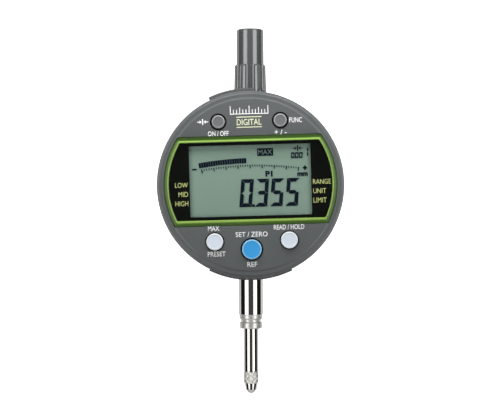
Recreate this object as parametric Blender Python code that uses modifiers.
"""Digital dial indicator: a gauge with an 8 mm clamping stem and a turning display, in separate pieces.

Metres, +Z up. The origin is on the stem's axis, halfway along its clamping length. The dial faces -Y.
Two frames are used. The spindle, stem and cap stand along world Z. Everything that lies flat in the dial
is placed in the dial frame of an empty at the dial's centre: x to the right, y up the dial, z towards the
front.
"""

import math

import bmesh
import bpy
from mathutils import Matrix, Vector

MM = 0.001

# Driving dimensions
STEM_RADIUS = 4.0 * MM
SPINDLE_RADIUS = 2.4 * MM
TRAVEL = 12.7 * MM
BUTTON_TRAVEL = 0.5 * MM
DIAL_Z = 37.4 * MM
DISPLAY_RADIUS = 30.5 * MM
CASE_RADIUS = 30.0 * MM
DISPLAY_TILT = math.radians(1.4)  # the display was left turned this much anticlockwise
TURN_BACK, TURN_ON = 90, 240  # degrees anticlockwise and clockwise to the display's stops

# Depths in the dial frame, measured from the stem's axis towards the front
COVER_FRONT = 17.0 * MM
COVER_BACK = 7.8 * MM
COVER_WALL_BACK = 15.4 * MM
LEDGE = 15.9 * MM  # the window's pieces sit on this step of the front cover
FRAME_FRONT = 17.3 * MM
LENS_FRONT = 17.15 * MM
BUTTON_BACK, BUTTON_FLANGE = 14.4 * MM, 15.2 * MM
GREY_FRONT, LARGE_FRONT = 17.55 * MM, 17.9 * MM  # tops of the small grey buttons and of the others
CASE_FRONT = 7.4 * MM
WALL_BACK = 5.8 * MM  # back of the case's front wall
CASE_BACK = -7.0 * MM
BACK_PLATE = (-8.8 * MM, -7.4 * MM)
LCD = (13.4 * MM, 15.2 * MM)
DISPLAY_BOARD = (10.8 * MM, 11.6 * MM)
DISPLAY_BACK = (8.0 * MM, 9.2 * MM)
KEYPAD = (11.7 * MM, 12.6 * MM)
ENCODER_BOARD = (3.6 * MM, 4.4 * MM)

# The window, from the dial's centre: radius of its round ends, then its lower and upper straight edges
FRAME_OUTLINE = (28.15 * MM, -13.1 * MM, 15.85 * MM)
FRAME_OPENING = (26.6 * MM, -11.25 * MM, 14.0 * MM)
LEDGE_OPENING = (25.8 * MM, -10.4 * MM, 13.6 * MM)
LCD_VIEW = (19.75 * MM, -10.15 * MM, 12.95 * MM)  # half width, bottom and top of what shows of the LCD
FIT = 0.1 * MM  # gap left between pieces that touch
RUNNING = 0.06 * MM  # radial clearance of the spindle in its bushings
SCREW_SUNK = 0.15 * MM  # how far a flat screw head sits below its face

# Raised blocks on the case's wall: inner and outer radius, first and last angle, back and front
STEM_BOSS = (28.6 * MM, 31.55 * MM, -116, -64, -6.4 * MM, 6.6 * MM)
SOCKET_BLOCK = (28.6 * MM, 32.3 * MM, 88, 115.4, -5.2 * MM, 7.0 * MM)
COVER_SEAT_RADIUS = 30.95 * MM  # the connector cover lies in this cut in the socket's block
COVER_ANGLES = (101.9, 114.6)

# Places in the dial frame
COVER_POST_RADIUS = 25.3 * MM
CASE_POST_RADIUS = 26.3 * MM
DIAGONALS = (45, 135, 225, 315)
BATTERY_PLACE = (-18.2 * MM, 0.0)
LID_SCREW_PLACE = (-18.2 * MM, 9.6 * MM)
STANDOFFS = ((19.5 * MM, -12.0 * MM), (19.5 * MM, 12.0 * MM))
HUB_RADIUS = 9.0 * MM
STOP_PIN_ORBIT = 24.0 * MM
STOP_PIN_RADIUS = 0.8 * MM
STOP_PIN_BEARING = 180  # degrees clockwise from the top
SOCKET_ANGLE, COVER_SCREW_ANGLE = 110.3, 104.2
BUTTONS = {
    "button_power": (-9.9 * MM, 20.6 * MM, 2.2 * MM, 2.65 * MM, "grey_button"),
    "button_menu": (10.2 * MM, 20.6 * MM, 2.2 * MM, 2.65 * MM, "grey_button"),
    "button_preset": (-12.1 * MM, -18.25 * MM, 2.75 * MM, 3.1 * MM, "white_button"),
    "button_hold": (12.1 * MM, -18.3 * MM, 2.75 * MM, 3.1 * MM, "white_button"),
    "button_zero": (-0.15 * MM, -21.0 * MM, 3.3 * MM, 3.65 * MM, "blue_button"),
}  # x, y, radius of the cap, radius of its hole, material

# Heights along world Z
STEM_BOTTOM = -10.6 * MM
SPINDLE_BOTTOM = -25.1 * MM
SPINDLE_TOP = 71.0 * MM
BALL_RADIUS = 1.5 * MM
TIP = -32.5 * MM
CARRIER = (16.0 * MM, 24.0 * MM)
GUIDE_PIN_HEIGHT, GUIDE_PIN_RADIUS = 20.0 * MM, 0.9 * MM
CAP_BOTTOM, CAP_SHOULDER, CAP_TOP = 68.1 * MM, 77.9 * MM, 90.1 * MM
BUSHING_FLANGE = (63.6 * MM, 65.0 * MM)
CAP_FLUTES = 18

ROUND, FINE_ROUND, SMALL_ROUND = 36, 52, 14  # segments of a medium, a large and a small circle

COLOURS = {  # base colour, roughness, metallic
    "case_plastic": ((0.115, 0.12, 0.12), 0.5, 0.0),
    "cover_plastic": ((0.15, 0.16, 0.165), 0.45, 0.0),
    "cap_plastic": ((0.13, 0.14, 0.142), 0.3, 0.0),
    "grey_button": ((0.22, 0.22, 0.225), 0.45, 0.0),
    "white_button": ((0.72, 0.76, 0.84), 0.4, 0.0),
    "blue_button": ((0.06, 0.34, 0.68), 0.35, 0.0),
    "green_frame": ((0.25, 0.48, 0.09), 0.3, 0.0),
    "clear_lens": ((0.9, 0.92, 0.92), 0.05, 0.0),
    "black_mask": ((0.006, 0.006, 0.006), 0.3, 0.0),
    "lcd_glass": ((0.21, 0.30, 0.24), 0.25, 0.0),
    "white_plastic": ((0.7, 0.7, 0.66), 0.6, 0.0),
    "circuit_board": ((0.02, 0.12, 0.05), 0.5, 0.0),
    "rubber": ((0.03, 0.03, 0.03), 0.8, 0.0),
    "polished_steel": ((0.75, 0.74, 0.72), 0.12, 1.0),
    "steel": ((0.55, 0.55, 0.54), 0.3, 1.0),
    "aluminium": ((0.62, 0.62, 0.62), 0.35, 1.0),
    "brass": ((0.65, 0.48, 0.2), 0.3, 1.0),
    "carbide": ((0.42, 0.42, 0.43), 0.15, 1.0),
    "glass": ((0.6, 0.68, 0.66), 0.05, 0.0),
}


# ---- Scene, collections and materials ----


def clear_scene():
    for obj in list(bpy.data.objects):
        bpy.data.objects.remove(obj)


def new_collection(name):
    collection = bpy.data.collections.new(name)
    bpy.context.scene.collection.children.link(collection)
    return collection


def new_material(name):
    colour, roughness, metallic = COLOURS[name]
    material = bpy.data.materials.new(name)
    material.use_nodes = True
    shader = material.node_tree.nodes["Principled BSDF"]
    shader.inputs["Base Color"].default_value = (*colour, 1.0)
    shader.inputs["Roughness"].default_value = roughness
    shader.inputs["Metallic"].default_value = metallic
    return material


clear_scene()
PARTS = new_collection("dial_indicator")
CUTTERS = new_collection("cutters")
MATERIALS = {name: new_material(name) for name in COLOURS}


def new_empty(name, location, rotation):
    empty = bpy.data.objects.new(name, None)
    PARTS.objects.link(empty)
    empty.location = location
    empty.rotation_euler = rotation
    return empty


# The dial frame's z points along world -Y, so a quarter turn about X stands it up.
CASE_AXIS = new_empty("case_axis", (0, 0, DIAL_Z), (math.pi / 2, 0, 0))
DISPLAY_AXIS = new_empty("display_axis", (0, 0, DIAL_Z), (math.pi / 2, -DISPLAY_TILT, 0))


# ---- Making shapes ----


def new_object(name, mesh, material=None, parent=None, location=(0, 0, 0), rotation=(0, 0, 0)):
    """An object of the model, or a hidden cutter where it has no material."""
    obj = bpy.data.objects.new(name, mesh)
    obj.parent = parent
    obj.location = location
    obj.rotation_euler = rotation
    if material:
        PARTS.objects.link(obj)
        mesh.materials.append(MATERIALS[material])
    else:
        CUTTERS.objects.link(obj)
        obj.hide_render = True
        obj.display_type = "WIRE"
    return obj


def turned(name, profile, material=None, parent=None, segments=ROUND, closed=True, **place):
    """A profile of (radius, height) points, spun about the object's Z. It runs down the outer side.
    A closed profile is a ring's section; an open one starts and ends on the axis."""
    mesh = bpy.data.meshes.new(name)
    count = len(profile)
    edges = [(i, (i + 1) % count) for i in range(count if closed else count - 1)]
    mesh.from_pydata([(radius, 0, height) for radius, height in profile], edges, [])
    obj = new_object(name, mesh, material, parent, **place)
    spin = obj.modifiers.new("spin", "SCREW")
    spin.steps = spin.render_steps = segments
    spin.use_merge_vertices = True
    spin.merge_threshold = 0.00001
    spin.use_smooth_shade = True
    return obj


def solid_of_revolution(name, profile, *args, **kwargs):
    return turned(name, profile, *args, closed=False, **kwargs)


def cylinder(name, radius, low, high, material=None, parent=None, segments=SMALL_ROUND, at=(0, 0), **place):
    profile = [(0, high), (radius, high), (radius, low), (0, low)]
    place.setdefault("location", (*at, 0))
    return solid_of_revolution(name, profile, material, parent, segments, **place)


def ring(name, inner, outer, low, high, material=None, parent=None, segments=ROUND, **place):
    profile = [(inner, high), (outer, high), (outer, low), (inner, low)]
    return turned(name, profile, material, parent, segments, **place)


def box(name, low, high, material=None, parent=None, **place):
    """A block between two corners of the parent's frame."""
    size = Vector(high) - Vector(low)
    middle = (Vector(high) + Vector(low)) / 2
    made = bmesh.new()
    bmesh.ops.create_cube(made, size=1, matrix=Matrix.Translation(middle) @ Matrix.Diagonal((*size, 1)))
    mesh = bpy.data.meshes.new(name)
    made.to_mesh(mesh)
    made.free()
    return new_object(name, mesh, material, parent, **place)


def arc(radius, start, end, steps, centre=(0, 0)):
    """Points on a circle, with angles in degrees anticlockwise from +x."""
    angles = [math.radians(start + (end - start) * i / steps) for i in range(steps + 1)]
    return [(centre[0] + radius * math.cos(a), centre[1] + radius * math.sin(a)) for a in angles]


def sector(inner, outer, start, end, steps):
    """The outline of a stretch of a ring."""
    return arc(outer, start, end, steps) + arc(inner, end, start, steps)


def window_outline(radius, bottom, top, steps=12, grow=0.0):
    """A circle cut off by two straight edges."""
    radius, bottom, top = radius + grow, bottom - grow, top + grow
    low = math.degrees(math.asin(bottom / radius))
    high = math.degrees(math.asin(top / radius))
    return arc(radius, low, high, steps) + arc(radius, 180 - high, 180 - low, steps)


def rectangle(low, high):
    return [low, (high[0], low[1]), high, (low[0], high[1])]


def plate(name, outlines, low, high, material=None, parent=None):
    """Flat outlines, the later ones being holes, extruded along z. The filled curve becomes a mesh."""
    curve = bpy.data.curves.new(name, "CURVE")
    curve.dimensions = "2D"
    curve.fill_mode = "BOTH"
    curve.extrude = (high - low) / 2
    for outline in outlines:
        spline = curve.splines.new("POLY")
        spline.points.add(len(outline) - 1)
        for point, (x, y) in zip(spline.points, outline):
            point.co = (x, y, 0, 1)
        spline.use_cyclic_u = True
    flat = bpy.data.objects.new(name + "_outline", curve)
    CUTTERS.objects.link(flat)
    graph = bpy.context.evaluated_depsgraph_get()
    mesh = bpy.data.meshes.new_from_object(flat.evaluated_get(graph))
    bpy.data.objects.remove(flat)
    made = bmesh.new()
    made.from_mesh(mesh)
    bmesh.ops.remove_doubles(made, verts=made.verts, dist=0.000001)
    bmesh.ops.recalc_face_normals(made, faces=made.faces)
    made.to_mesh(mesh)
    made.free()
    mesh.name = name
    mesh.materials.clear()
    return new_object(name, mesh, material, parent, location=(0, 0, (low + high) / 2))


def combine(target, other, operation):
    modifier = target.modifiers.new(other.name, "BOOLEAN")
    modifier.operation = operation
    modifier.solver = "EXACT"
    modifier.object = other


def cut(target, *cutters):
    for cutter in cutters:
        combine(target, cutter, "DIFFERENCE")


def join(target, *others):
    for other in others:
        combine(target, other, "UNION")


def on_circle(radius, degrees):
    return (radius * math.cos(math.radians(degrees)), radius * math.sin(math.radians(degrees)))


# ---- Screws ----


def countersink(name, place, head_radius, shank_radius, face, depth, parent):
    """The cutter for a flat-headed screw whose head faces the back, at dial-frame height face."""
    rim = face + 3 * SCREW_SUNK
    profile = [
        (0, face + depth),
        (shank_radius, face + depth),
        (shank_radius, rim + head_radius - shank_radius),
        (head_radius, rim),
        (head_radius, face - 1 * MM),
        (0, face - 1 * MM),
    ]
    return solid_of_revolution(name, profile, None, parent, SMALL_ROUND, location=(*place, 0))


def flat_screw(name, place, head_radius, shank_radius, face, length, parent, material="steel"):
    """A flat-headed cross-recess screw, its head towards the back and a little below the face."""
    sink = face + SCREW_SUNK
    rim = sink + SCREW_SUNK
    profile = [
        (0, face + length),
        (shank_radius, face + length),
        (shank_radius, rim + head_radius - shank_radius),
        (head_radius, rim),
        (head_radius, sink),
        (0, sink),
    ]
    screw = solid_of_revolution(name, profile, material, parent, SMALL_ROUND, location=(*place, 0))
    long, half_slot, depth = 0.62 * head_radius, 0.13 * head_radius, 0.5 * MM
    for axis, (x, y) in {"x": (long, half_slot), "y": (half_slot, long)}.items():
        low = (place[0] - x, place[1] - y, sink - 1 * MM)
        high = (place[0] + x, place[1] + y, sink + depth)
        cut(screw, box(f"{name}_recess_{axis}", low, high, None, parent))
    return screw


# ---- The case and what is fixed in it ----


def main_case():
    profile = [
        (HUB_RADIUS + 0.3 * MM, CASE_FRONT),
        (CASE_RADIUS - 0.8 * MM, CASE_FRONT),
        (CASE_RADIUS, CASE_FRONT - 0.8 * MM),
        (CASE_RADIUS, CASE_BACK + 0.6 * MM),
        (CASE_RADIUS - 0.6 * MM, CASE_BACK),
        (28.2 * MM, CASE_BACK),
        (28.2 * MM, WALL_BACK),
        (HUB_RADIUS + 0.3 * MM, WALL_BACK),
    ]
    case = turned("main_case", profile, "case_plastic", CASE_AXIS, FINE_ROUND)
    into_wall = WALL_BACK + 0.4 * MM
    raised = {"stem_boss": STEM_BOSS, "socket_block": SOCKET_BLOCK}
    for name, (near, far, first, last, low, high) in raised.items():
        steps = round((last - first) / 3)
        join(case, plate(name, [sector(near, far, first, last, steps)], low, high, None, CASE_AXIS))
    post_foot = CASE_BACK + 0.1 * MM
    for number, angle in enumerate(DIAGONALS, 1):
        place = on_circle(CASE_POST_RADIUS, angle)
        post = cylinder(f"case_post_{number}", 2.2 * MM, post_foot, into_wall, None, CASE_AXIS, at=place)
        pilot = cylinder(f"case_pilot_{number}", 0.95 * MM, -9 * MM, -1 * MM, None, CASE_AXIS, at=place)
        join(case, post)
        cut(case, pilot)
    for number, place in enumerate(STANDOFFS, 1):
        post = cylinder(f"standoff_{number}", 1.8 * MM, 4.5 * MM, into_wall, None, CASE_AXIS, at=place)
        pilot = cylinder(f"standoff_pilot_{number}", 0.6 * MM, 2 * MM, 5.6 * MM, None, CASE_AXIS, at=place)
        join(case, post)
        cut(case, pilot)
    half_round = ROUND // 2
    cup_place = {"segments": half_round, "at": BATTERY_PLACE}
    cup = cylinder("battery_cup", 7.5 * MM, -7.2 * MM, into_wall, None, CASE_AXIS, **cup_place)
    lid_post = cylinder("lid_post", 1.9 * MM, -7.1 * MM, into_wall, None, CASE_AXIS, at=LID_SCREW_PLACE)
    join(case, cup, lid_post)
    cut(
        case,
        cylinder("battery_bore", 6.5 * MM, -9 * MM, -0.5 * MM, None, CASE_AXIS, **cup_place),
        cylinder("lid_pilot", 0.7 * MM, -9 * MM, -2 * MM, None, CASE_AXIS, at=LID_SCREW_PLACE),
        cylinder("stem_hole", STEM_RADIUS + RUNNING, 2 * MM, 13 * MM, segments=ROUND),
        cylinder("bushing_hole", 4.26 * MM, 62 * MM, 73 * MM, segments=half_round),
        cylinder("cap_relief", 5.6 * MM, CAP_BOTTOM - 0.15 * MM, 75 * MM, segments=half_round),
        cover_seat(),
        socket_pocket(),
        radial_hole("cover_screw_pilot", 0.5 * MM, 28.6 * MM, 33 * MM),
        stop_groove(),
    )
    return case


def cover_seat():
    """The cutter for the shallow seat that the connector cover lies in."""
    first, last = COVER_ANGLES
    spare = 0.3
    outline = sector(COVER_SEAT_RADIUS, 34 * MM, first - spare, last + spare, 6)
    return plate("cover_seat", [outline], -4.6 * MM, 5.2 * MM, None, CASE_AXIS)


def socket_pocket():
    """The cutter for the square hole that the socket stands in."""
    half = 2.4 * MM
    return plate("socket_pocket", [socket_outline(24 * MM, 32 * MM, half)], -half, half, None, CASE_AXIS)


def socket_outline(near, far, half_width):
    """A rectangle that runs outwards along the socket's own direction."""
    along = Vector(on_circle(1, SOCKET_ANGLE))
    across = Vector((-along.y, along.x))
    corners = [(near, -half_width), (far, -half_width), (far, half_width), (near, half_width)]
    return [tuple(along * a + across * b) for a, b in corners]


def radial_hole(name, radius, near, far, material=None):
    """A rod that points outwards from the dial's centre at the connector cover's screw."""
    angle = math.radians(COVER_SCREW_ANGLE)
    return cylinder(
        name, radius, near, far, material, CASE_AXIS, 12, location=(0, 0, 0), rotation=(0, math.pi / 2, angle)
    )


def stop_groove():
    """The channel that the display's stop pin runs in. The stretch left solid is the stop at both ends."""
    spare = 3.5
    first = 90 - STOP_PIN_BEARING + TURN_BACK + spare
    last = 90 - STOP_PIN_BEARING - TURN_ON - spare
    half = STOP_PIN_RADIUS + 0.4 * MM
    outline = sector(STOP_PIN_ORBIT - half, STOP_PIN_ORBIT + half, last, first, FINE_ROUND - 8)
    return plate("stop_groove", [outline], CASE_FRONT - 0.8 * MM, CASE_FRONT + 1 * MM, None, CASE_AXIS)


def lid_outline(grow=0.0):
    """A round battery lid with an ear for its screw: two circles and the straight lines that touch both."""
    large, small = 7.4 * MM + grow, 2.4 * MM + grow
    apart = LID_SCREW_PLACE[1] - BATTERY_PLACE[1]
    lean = math.degrees(math.acos((large - small) / apart))
    around = arc(large, 90 + lean, 450 - lean, 26, BATTERY_PLACE)
    return around + arc(small, 90 - lean, 90 + lean, 8, LID_SCREW_PLACE)


def back_plate():
    low, high = BACK_PLATE
    rim = 29.3 * MM
    profile = [(0, high), (rim, high), (rim, low + 0.5 * MM), (rim - 0.5 * MM, low), (0, low)]
    back = solid_of_revolution("back_plate", profile, "aluminium", CASE_AXIS, FINE_ROUND)
    for number, angle in enumerate(DIAGONALS, 1):
        place = on_circle(CASE_POST_RADIUS, angle)
        cut(back, countersink(f"back_sink_{number}", place, 2.0 * MM, 1.1 * MM, low, 4 * MM, CASE_AXIS))
        flat_screw(f"back_screw_{number}", place, 1.9 * MM, 0.85 * MM, low, 6.5 * MM, CASE_AXIS)
    cut(back, plate("lid_opening", [lid_outline(0.15 * MM)], low - 1 * MM, high + 1 * MM, None, CASE_AXIS))
    ring("back_seal", 28.4 * MM, 29.2 * MM, high + FIT, CASE_BACK - FIT, "rubber", CASE_AXIS)
    return back


def battery_and_lid():
    low, high = BACK_PLATE
    lid = plate("battery_lid", [lid_outline()], low + FIT, high - 0.05 * MM, "case_plastic", CASE_AXIS)
    cut(
        lid,
        countersink("lid_sink", LID_SCREW_PLACE, 1.6 * MM, 0.85 * MM, low + FIT, 4 * MM, CASE_AXIS),
        box(
            "lid_coin_slot",
            (BATTERY_PLACE[0] - 4 * MM, -0.5 * MM, low - 1 * MM),
            (BATTERY_PLACE[0] + 4 * MM, 0.5 * MM, low + 0.6 * MM),
            None,
            CASE_AXIS,
        ),
    )
    flat_screw("battery_lid_screw", LID_SCREW_PLACE, 1.5 * MM, 0.6 * MM, low + FIT, 5.5 * MM, CASE_AXIS)
    cell = [
        (0, -1.0 * MM),
        (4.4 * MM, -1.0 * MM),
        (4.6 * MM, -1.5 * MM),
        (5.8 * MM, -1.6 * MM),
        (5.8 * MM, -6.2 * MM),
        (5.5 * MM, -6.5 * MM),
        (0, -6.5 * MM),
    ]
    place = (*BATTERY_PLACE, 0)
    solid_of_revolution("battery", cell, "polished_steel", CASE_AXIS, 32, location=place)
    cylinder("battery_contact_minus", 3.5 * MM, -0.9 * MM, -0.6 * MM, "brass", CASE_AXIS, at=BATTERY_PLACE)
    strip = [
        (x + BATTERY_PLACE[0], y + BATTERY_PLACE[1])
        for x, y in sector(5.95 * MM, 6.3 * MM, 140, 220, 8)
    ]
    plate("battery_contact_plus", [strip], -6.6 * MM, -1.8 * MM, "brass", CASE_AXIS)


def output_socket():
    """The data output's socket, and the cover over it on the case's upper left shoulder."""
    body = socket_outline(26 * MM, 30.6 * MM, 2.3 * MM)
    mouth = socket_outline(27.5 * MM, 32 * MM, 1.7 * MM)
    socket = plate("output_socket", [body], -2.2 * MM, 2.2 * MM, "rubber", CASE_AXIS)
    cut(socket, plate("socket_mouth", [mouth], -1.5 * MM, 1.5 * MM, None, CASE_AXIS))
    outline = sector(COVER_SEAT_RADIUS + FIT, SOCKET_BLOCK[1], *COVER_ANGLES, 8)
    cover = plate("connector_cover", [outline], -4.45 * MM, 5.05 * MM, "case_plastic", CASE_AXIS)
    cut(cover, radial_hole("cover_screw_hole", 1.05 * MM, 31.5 * MM, 34 * MM))
    cut(cover, radial_hole("cover_screw_shank_hole", 0.6 * MM, 30 * MM, 34 * MM))
    screw = radial_hole("connector_cover_screw", 0.9 * MM, 31.6 * MM, 32.2 * MM, "steel")
    join(screw, radial_hole("cover_screw_shank", 0.42 * MM, 29.0 * MM, 31.9 * MM))


def stem():
    profile = [
        (3.1 * MM, 11.4 * MM),
        (5.3 * MM, 11.4 * MM),
        (5.3 * MM, 10.0 * MM),
        (STEM_RADIUS, 10.0 * MM),
        (STEM_RADIUS, -5.8 * MM),
        (3.82 * MM, -6.0 * MM),
        (3.82 * MM, -7.2 * MM),
        (3.25 * MM, -7.75 * MM),
        (3.25 * MM, -8.3 * MM),
        (3.7 * MM, -8.75 * MM),
        (3.7 * MM, -10.2 * MM),
        (3.4 * MM, STEM_BOTTOM),
        (3.1 * MM, STEM_BOTTOM),
    ]
    turned("stem", profile, "polished_steel")
    bore = SPINDLE_RADIUS + RUNNING
    ring("stem_bushing", bore, 3.04 * MM, -9.4 * MM, -3.4 * MM, "brass", segments=ROUND // 2)
    ring("spindle_wiper", bore, 3.0 * MM, -10.5 * MM, -9.6 * MM, "rubber", segments=ROUND // 2)
    ring("stop_bumper", 2.7 * MM, 4.2 * MM, 11.5 * MM, CARRIER[0] - FIT, "rubber", segments=ROUND // 2)


def upper_bushing():
    low, high = BUSHING_FLANGE
    bore = SPINDLE_RADIUS + RUNNING
    profile = [
        (bore, 74.0 * MM),
        (3.9 * MM, 74.0 * MM),
        (4.2 * MM, 73.7 * MM),
        (4.2 * MM, high),
        (5.3 * MM, high),
        (5.3 * MM, low),
        (bore, low),
    ]
    turned("upper_bushing", profile, "brass", segments=ROUND // 2)


def encoder():
    """The board and the detector that read the moving scale, the board's two screws, and the guide rail."""
    back, front = ENCODER_BOARD
    low, high = (4.8 * MM, -15.3 * MM, back), (22 * MM, 15.3 * MM, front)
    board = box("encoder_board", low, high, "circuit_board", CASE_AXIS)
    for number, place in enumerate(STANDOFFS, 1):
        cut(board, cylinder(f"board_hole_{number}", 0.8 * MM, 3 * MM, 5 * MM, None, CASE_AXIS, at=place))
        profile = [
            (0, front + 1 * MM),
            (0.5 * MM, front + 1 * MM),
            (0.5 * MM, back - FIT),
            (1.3 * MM, back - FIT),
            (1.3 * MM, back - 0.8 * MM),
            (0, back - 0.8 * MM),
        ]
        name = f"encoder_screw_{number}"
        solid_of_revolution(name, profile, "steel", CASE_AXIS, SMALL_ROUND, location=(*place, 0))
    box("encoder_detector", (5.2 * MM, -7 * MM, 2.9 * MM), (12 * MM, 7 * MM, back - FIT), "glass", CASE_AXIS)
    slot_low = GUIDE_PIN_HEIGHT - GUIDE_PIN_RADIUS - 0.5 * MM
    slot_high = GUIDE_PIN_HEIGHT + GUIDE_PIN_RADIUS + TRAVEL + 0.6 * MM
    rail = box("guide_rail", (-9.6 * MM, -2.6 * MM, 13.5 * MM), (-5.4 * MM, 2.6 * MM, 37 * MM), "steel")
    join(rail, box("rail_foot", (-9.6 * MM, -5.6 * MM, 13.5 * MM), (-5.4 * MM, -2.0 * MM, 24 * MM)))
    cut(rail, box("rail_slot", (-8.9 * MM, -1.05 * MM, slot_low), (-5 * MM, 1.05 * MM, slot_high)))


def return_spring():
    """A compression spring round the spindle, from the carrier up to the upper bushing's flange."""
    wire, coil = 0.3 * MM, 3.45 * MM
    low = CARRIER[1] + FIT + wire
    high = BUSHING_FLANGE[0] - FIT - wire
    live, dead, per_turn = 8, 1, 9
    turns = live + 2 * dead
    count = turns * per_turn
    dead_rise = 2.4 * wire
    points = []
    for i in range(count + 1):
        turn = i / per_turn
        climbed = min(max(turn - dead, 0), live) / live
        ends = min(turn, dead) + max(turn - dead - live, 0)
        z = low + dead_rise * ends + climbed * (high - low - 2 * dead * dead_rise)
        points.append((coil * math.cos(2 * math.pi * turn), coil * math.sin(2 * math.pi * turn), z))
    curve = bpy.data.curves.new("return_spring", "CURVE")
    curve.dimensions = "3D"
    curve.bevel_depth = wire
    curve.bevel_resolution = 2
    curve.use_fill_caps = True
    spline = curve.splines.new("POLY")
    spline.points.add(len(points) - 1)
    for point, place in zip(spline.points, points):
        point.co = (*place, 1)
    curve.materials.append(MATERIALS["steel"])
    PARTS.objects.link(bpy.data.objects.new("return_spring", curve))


def pivot():
    """The hollow hub that the display turns on, its nut behind the case's wall, the seal and the cable."""
    profile = [
        (7.6 * MM, 10.2 * MM),
        (11.0 * MM, 10.2 * MM),
        (11.0 * MM, 9.5 * MM),
        (HUB_RADIUS, 9.5 * MM),
        (HUB_RADIUS, 4.8 * MM),
        (7.6 * MM, 4.8 * MM),
    ]
    turned("pivot_hub", profile, "aluminium", CASE_AXIS)
    ring("hub_nut", HUB_RADIUS + RUNNING, 10.3 * MM, 4.9 * MM, 5.7 * MM, "steel", CASE_AXIS)
    ring("display_seal", 12.0 * MM, 13.4 * MM, CASE_FRONT + FIT, DISPLAY_BACK[0] - FIT, "rubber", CASE_AXIS)
    steps, turns, thickness = 36, 2.25, 0.25 * MM
    inner = []
    outer = []
    for i in range(steps + 1):
        angle = 2 * math.pi * turns * i / steps
        radius = 2.8 * MM + 4.0 * MM * i / steps
        inner.append((radius * math.cos(angle), radius * math.sin(angle)))
        outer.append(((radius + thickness) * math.cos(angle), (radius + thickness) * math.sin(angle)))
    plate("flex_cable", [outer + inner[::-1]], 5.0 * MM, 9.2 * MM, "brass", CASE_AXIS)


# ---- What slides with the spindle ----


def spindle():
    profile = [
        (0, SPINDLE_TOP),
        (2.0 * MM, SPINDLE_TOP),
        (SPINDLE_RADIUS, SPINDLE_TOP - 0.4 * MM),
        (SPINDLE_RADIUS, SPINDLE_BOTTOM + 0.15 * MM),
        (2.25 * MM, SPINDLE_BOTTOM),
        (1.3 * MM, SPINDLE_BOTTOM),
        (1.3 * MM, SPINDLE_BOTTOM + 5.2 * MM),
        (0, SPINDLE_BOTTOM + 5.6 * MM),
    ]
    solid_of_revolution("spindle", profile, "polished_steel", segments=ROUND // 2)


def contact_point():
    """The screwed-in point: a stud, a knurled grip and a taper that holds the ball."""
    top = SPINDLE_BOTTOM - FIT
    ball_centre = TIP + BALL_RADIUS
    seat = BALL_RADIUS + 0.05 * MM
    profile = [
        (0, top + 4.6 * MM),
        (1.2 * MM, top + 4.6 * MM),
        (1.2 * MM, top),
        (2.35 * MM, top),
        (2.45 * MM, top - 0.2 * MM),
        (2.45 * MM, top - 3.6 * MM),
        (2.15 * MM, top - 3.9 * MM),
        (1.78 * MM, ball_centre - 0.3 * MM),
        (seat, ball_centre - 0.3 * MM),
        (seat, ball_centre + 0.1 * MM),
        (0.9 * seat, ball_centre + 0.57 * seat),
        (0.55 * seat, ball_centre + 0.9 * seat),
        (0, ball_centre + 1.1 * seat),
    ]
    solid_of_revolution("contact_point", profile, "polished_steel", segments=ROUND // 2)
    made = bmesh.new()
    bmesh.ops.create_uvsphere(made, u_segments=16, v_segments=10, radius=BALL_RADIUS)
    mesh = bpy.data.meshes.new("contact_ball")
    made.to_mesh(mesh)
    made.free()
    mesh.shade_smooth()
    new_object("contact_ball", mesh, "carbide", location=(0, 0, ball_centre))


def carrier():
    """The block clamped on the spindle, the scale on its arm, and the pin that stops the spindle turning."""
    low, high = CARRIER
    arm = (low + 0.1 * MM, high - 0.1 * MM)
    block = box("carrier", (-4.4 * MM, -3.4 * MM, low), (4.4 * MM, 3.4 * MM, high), "aluminium")
    join(block, box("carrier_arm", (4.0 * MM, -1.6 * MM, arm[0]), (12.4 * MM, 1.6 * MM, arm[1])))
    sideways = {"location": (0, 0, GUIDE_PIN_HEIGHT), "rotation": (0, math.pi / 2, 0)}
    pin = GUIDE_PIN_RADIUS
    cut(
        block,
        cylinder("carrier_bore", SPINDLE_RADIUS + RUNNING, low - 1 * MM, high + 1 * MM, segments=ROUND // 2),
        cylinder("pin_hole", pin + RUNNING, -6 * MM, -2.9 * MM, segments=16, **sideways),
    )
    cylinder("guide_pin", pin, -8.7 * MM, -3.0 * MM, "polished_steel", segments=16, **sideways)
    box("encoder_scale", (5.0 * MM, -2.6 * MM, low + 0.5 * MM), (12.2 * MM, -1.7 * MM, 47 * MM), "glass")


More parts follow.
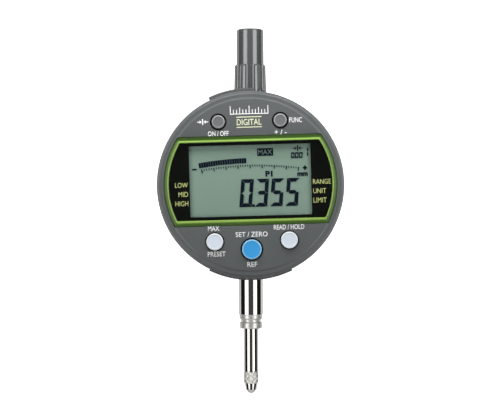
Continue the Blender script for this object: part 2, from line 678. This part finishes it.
def spindle_cap():
    """The hollow cap over the spindle's upper end, with a fluted skirt to grip."""
    profile = [
        (0, CAP_TOP),
        (3.75 * MM, CAP_TOP),
        (4.2 * MM, CAP_TOP - 0.25 * MM),
        (4.33 * MM, CAP_TOP - 0.8 * MM),
        (4.42 * MM, CAP_SHOULDER + 0.3 * MM),
        (5.0 * MM, CAP_SHOULDER - 0.5 * MM),
        (5.35 * MM, CAP_BOTTOM + 0.2 * MM),
        (5.2 * MM, CAP_BOTTOM),
        (4.3 * MM, CAP_BOTTOM),
        (4.3 * MM, 74.4 * MM),
        (3.1 * MM, 74.8 * MM),
        (3.1 * MM, CAP_TOP - 1.5 * MM),
        (0, CAP_TOP - 1.5 * MM),
    ]
    cap = solid_of_revolution("spindle_cap", profile, "cap_plastic")
    flutes = bmesh.new()
    height = CAP_SHOULDER - CAP_BOTTOM - 1.6 * MM
    out = Matrix.Translation((5.4 * MM, 0, CAP_BOTTOM + 0.9 * MM + height / 2))
    size = Matrix.Diagonal((1.1 * MM, 0.75 * MM, height, 1))
    for number in range(CAP_FLUTES):
        turn = Matrix.Rotation(2 * math.pi * number / CAP_FLUTES, 4, "Z")
        bmesh.ops.create_cube(flutes, size=1, matrix=turn @ out @ size)
    mesh = bpy.data.meshes.new("cap_flutes")
    flutes.to_mesh(mesh)
    flutes.free()
    cut(cap, new_object("cap_flutes", mesh))


# ---- The display unit, which turns on the hub ----


def front_cover():
    profile = [
        (0, COVER_FRONT),
        (28.0 * MM, COVER_FRONT),
        (28.2 * MM, 16.7 * MM),
        (29.35 * MM, 16.65 * MM),
        (30.3 * MM, 16.2 * MM),
        (DISPLAY_RADIUS, 15.7 * MM),
        (DISPLAY_RADIUS, COVER_BACK + 0.4 * MM),
        (DISPLAY_RADIUS - 0.4 * MM, COVER_BACK),
        (28.7 * MM, COVER_BACK),
        (28.7 * MM, COVER_WALL_BACK),
        (0, COVER_WALL_BACK),
    ]
    cover = solid_of_revolution("front_cover", profile, "cover_plastic", DISPLAY_AXIS, FINE_ROUND)
    for number, angle in enumerate(DIAGONALS, 1):
        place = on_circle(COVER_POST_RADIUS, angle)
        post = cylinder(f"cover_post_{number}", 2.0 * MM, 9.3 * MM, 15.8 * MM, None, DISPLAY_AXIS, at=place)
        pilot = cylinder(f"cover_pilot_{number}", 0.7 * MM, 7 * MM, 13.5 * MM, None, DISPLAY_AXIS, at=place)
        join(cover, post)
        cut(cover, pilot)
    cut(
        cover,
        plate("frame_recess", [window_outline(*FRAME_OUTLINE, grow=FIT)], LEDGE, 19 * MM, None, DISPLAY_AXIS),
        plate("window_opening", [window_outline(*LEDGE_OPENING)], 14 * MM, 19 * MM, None, DISPLAY_AXIS),
    )
    for name, (x, y, _, hole, _) in BUTTONS.items():
        cut(cover, cylinder(f"{name}_hole", hole, 14 * MM, 19 * MM, None, DISPLAY_AXIS, 28, at=(x, y)))


def window():
    """The green frame, and the clear lens with the black mask behind it."""
    outside = window_outline(*FRAME_OUTLINE)
    inside = window_outline(*FRAME_OPENING)
    frame = plate("window_frame", [outside, inside], LEDGE + FIT, FRAME_FRONT, "green_frame", DISPLAY_AXIS)
    bevel = frame.modifiers.new("outer_bevel", "BEVEL")
    bevel.width = 0.9 * MM
    bevel.segments = 1
    bevel.limit_method = "WEIGHT"
    weights = frame.data.attributes.new("bevel_weight_edge", "FLOAT", "EDGE")
    top = (FRAME_FRONT - LEDGE - FIT) / 2
    for edge in frame.data.edges:
        ends = [frame.data.vertices[v].co for v in edge.vertices]
        raised = all(end.z > 0.9 * top for end in ends)
        outer = all(on_outline(end, FRAME_OUTLINE) for end in ends)
        weights.data[edge.index].value = 1.0 if raised and outer else 0.0
    half, bottom, top = LCD_VIEW
    within = window_outline(*FRAME_OPENING, grow=-FIT)
    view = rectangle((-half, bottom), (half, top))
    plate("display_mask", [within, view], LEDGE + 0.05 * MM, LEDGE + 0.25 * MM, "black_mask", DISPLAY_AXIS)
    plate("lens", [within], LEDGE + 0.3 * MM, LENS_FRONT, "clear_lens", DISPLAY_AXIS)


def liquid_crystal():
    """The LCD, the reflector behind it and the two rubber strips that join it to the board."""
    back, front = LCD
    box("lcd_panel", (-21 * MM, -11.2 * MM, back), (21 * MM, 14.2 * MM, front), "lcd_glass", DISPLAY_AXIS)
    low, high = (-18.8 * MM, -8.8 * MM, 12.6 * MM), (18.8 * MM, 11.8 * MM, back - 0.2 * MM)
    box("lcd_reflector", low, high, "white_plastic", DISPLAY_AXIS)
    for name, bottom in {"contact_strip_lower": -11.0 * MM, "contact_strip_upper": 12.6 * MM}.items():
        low = (-19 * MM, bottom, DISPLAY_BOARD[1] + FIT)
        high = (19 * MM, bottom + 1.4 * MM, back - FIT)
        box(name, low, high, "rubber", DISPLAY_AXIS)


def on_outline(point, shape):
    radius, bottom, top = shape
    near = 0.01 * MM
    on_edge = abs(point.y - bottom) < near or abs(point.y - top) < near
    return on_edge or abs(math.hypot(point.x, point.y) - radius) < near


def display_board():
    low, high = DISPLAY_BOARD
    board = cylinder("display_board", 27.2 * MM, low, high, "circuit_board", DISPLAY_AXIS, ROUND)
    below, above = low - 1 * MM, high + 1 * MM
    for number, angle in enumerate(DIAGONALS, 1):
        place = on_circle(COVER_POST_RADIUS, angle)
        cut(board, cylinder(f"board_notch_{number}", 2.4 * MM, below, above, None, DISPLAY_AXIS, at=place))


def keypads():
    """Two rubber mats with a dome under each button."""
    low, high = KEYPAD
    dome = BUTTON_BACK - BUTTON_TRAVEL - 0.2 * MM
    upper = rectangle((-13 * MM, 17 * MM), (13 * MM, 24.4 * MM))
    half, waist, foot = 15.4 * MM, -20 * MM, -24.8 * MM
    lower = [
        (-half, -13.4 * MM),
        (-half, waist),
        (-12 * MM, foot),
        (12 * MM, foot),
        (half, waist),
        (half, -13.4 * MM),
    ]
    mats = {
        "upper": plate("keypad_upper", [upper], low, high, "rubber", DISPLAY_AXIS),
        "lower": plate("keypad_lower", [lower], low, high, "rubber", DISPLAY_AXIS),
    }
    for name, (x, y, _, _, _) in BUTTONS.items():
        profile = [(0, dome), (1.3 * MM, dome), (1.9 * MM, high - 0.3 * MM), (0, high - 0.3 * MM)]
        raised = solid_of_revolution(f"{name}_dome", profile, None, DISPLAY_AXIS, 16, location=(x, y, 0))
        join(mats["upper" if y > 0 else "lower"], raised)


def buttons():
    """Each button is a cap with a flange behind the cover. The blue and white ones stand prouder."""
    for name, (x, y, radius, hole, material) in BUTTONS.items():
        top = GREY_FRONT if material == "grey_button" else LARGE_FRONT
        flange = hole + 0.4 * MM
        profile = [
            (0, top),
            (0.6 * radius, top - 0.04 * MM),
            (radius - 0.3 * MM, top - 0.12 * MM),
            (radius, top - 0.4 * MM),
            (radius, BUTTON_FLANGE),
            (flange, BUTTON_FLANGE),
            (flange, BUTTON_BACK),
            (0, BUTTON_BACK),
        ]
        solid_of_revolution(name, profile, material, DISPLAY_AXIS, 28, location=(x, y, 0))


def display_back():
    low, high = DISPLAY_BACK
    profile = [
        (HUB_RADIUS + 0.15 * MM, high),
        (28.4 * MM, high),
        (28.4 * MM, low),
        (HUB_RADIUS + 0.15 * MM, low),
    ]
    back = turned("display_back", profile, "case_plastic", DISPLAY_AXIS)
    place = on_circle(STOP_PIN_ORBIT, 90 - STOP_PIN_BEARING)
    tip, root = CASE_FRONT - 0.5 * MM, low + 0.5 * MM
    join(back, cylinder("stop_pin", STOP_PIN_RADIUS, tip, root, None, DISPLAY_AXIS, 12, at=place))
    for number, angle in enumerate(DIAGONALS, 1):
        place = on_circle(COVER_POST_RADIUS, angle)
        cut(back, countersink(f"display_sink_{number}", place, 1.7 * MM, 0.8 * MM, low, 4 * MM, DISPLAY_AXIS))
        flat_screw(f"display_screw_{number}", place, 1.6 * MM, 0.6 * MM, low, 4.8 * MM, DISPLAY_AXIS)
    ring("friction_washer", 9.4 * MM, 10.9 * MM, high + 0.05 * MM, 9.45 * MM, "steel", DISPLAY_AXIS, 32)


main_case()
back_plate()
battery_and_lid()
output_socket()
stem()
upper_bushing()
encoder()
return_spring()
pivot()
spindle()
contact_point()
carrier()
spindle_cap()
front_cover()
window()
liquid_crystal()
display_board()
keypads()
buttons()
display_back()
